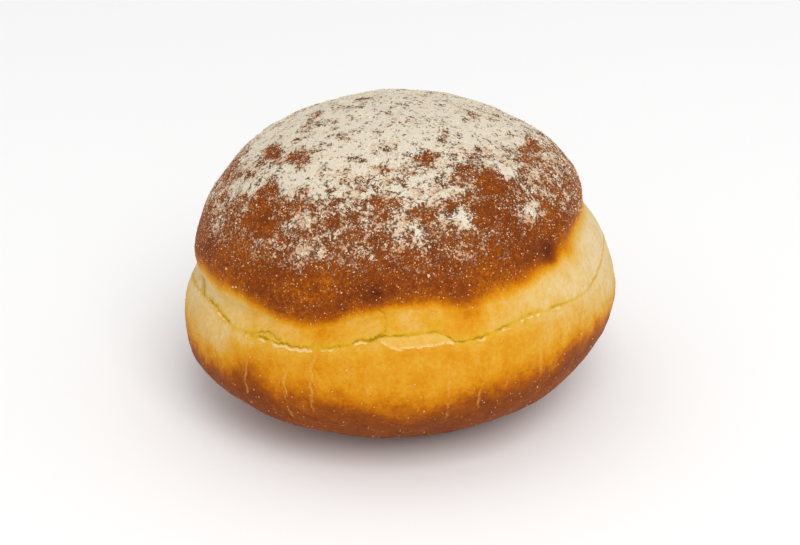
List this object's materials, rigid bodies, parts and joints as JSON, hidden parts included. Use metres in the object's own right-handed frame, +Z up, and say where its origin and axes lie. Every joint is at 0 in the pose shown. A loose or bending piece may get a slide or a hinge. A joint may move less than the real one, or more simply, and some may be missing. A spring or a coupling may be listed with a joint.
{
  "type": "jelly filled doughnut",
  "caption": "Round filled yeast doughnut, whole and uncut, with a brown domed cap under a dusting of powdered sugar, a pale split band and a browned foot.",
  "frame": {"origin": "on the surface it rests on, under the middle of its bounding box", "axes": "+Z up; -Y towards the side where the browned edge of the cap hangs lowest; +X towards the side where the pale band is widest and the cap sits highest"},
  "size_m": [0.0867, 0.0863, 0.0599],
  "materials": {
    "crust": "fried yeast dough: brown cap and foot, pale yellow band between them, dull with a faint sheen of fat",
    "sugar": "powdered sugar, dull and cream-white where it has taken up a little fat"
  },
  "bodies": {
    "root": {"doughnut": "crust"}
  },
  "joints": []
}
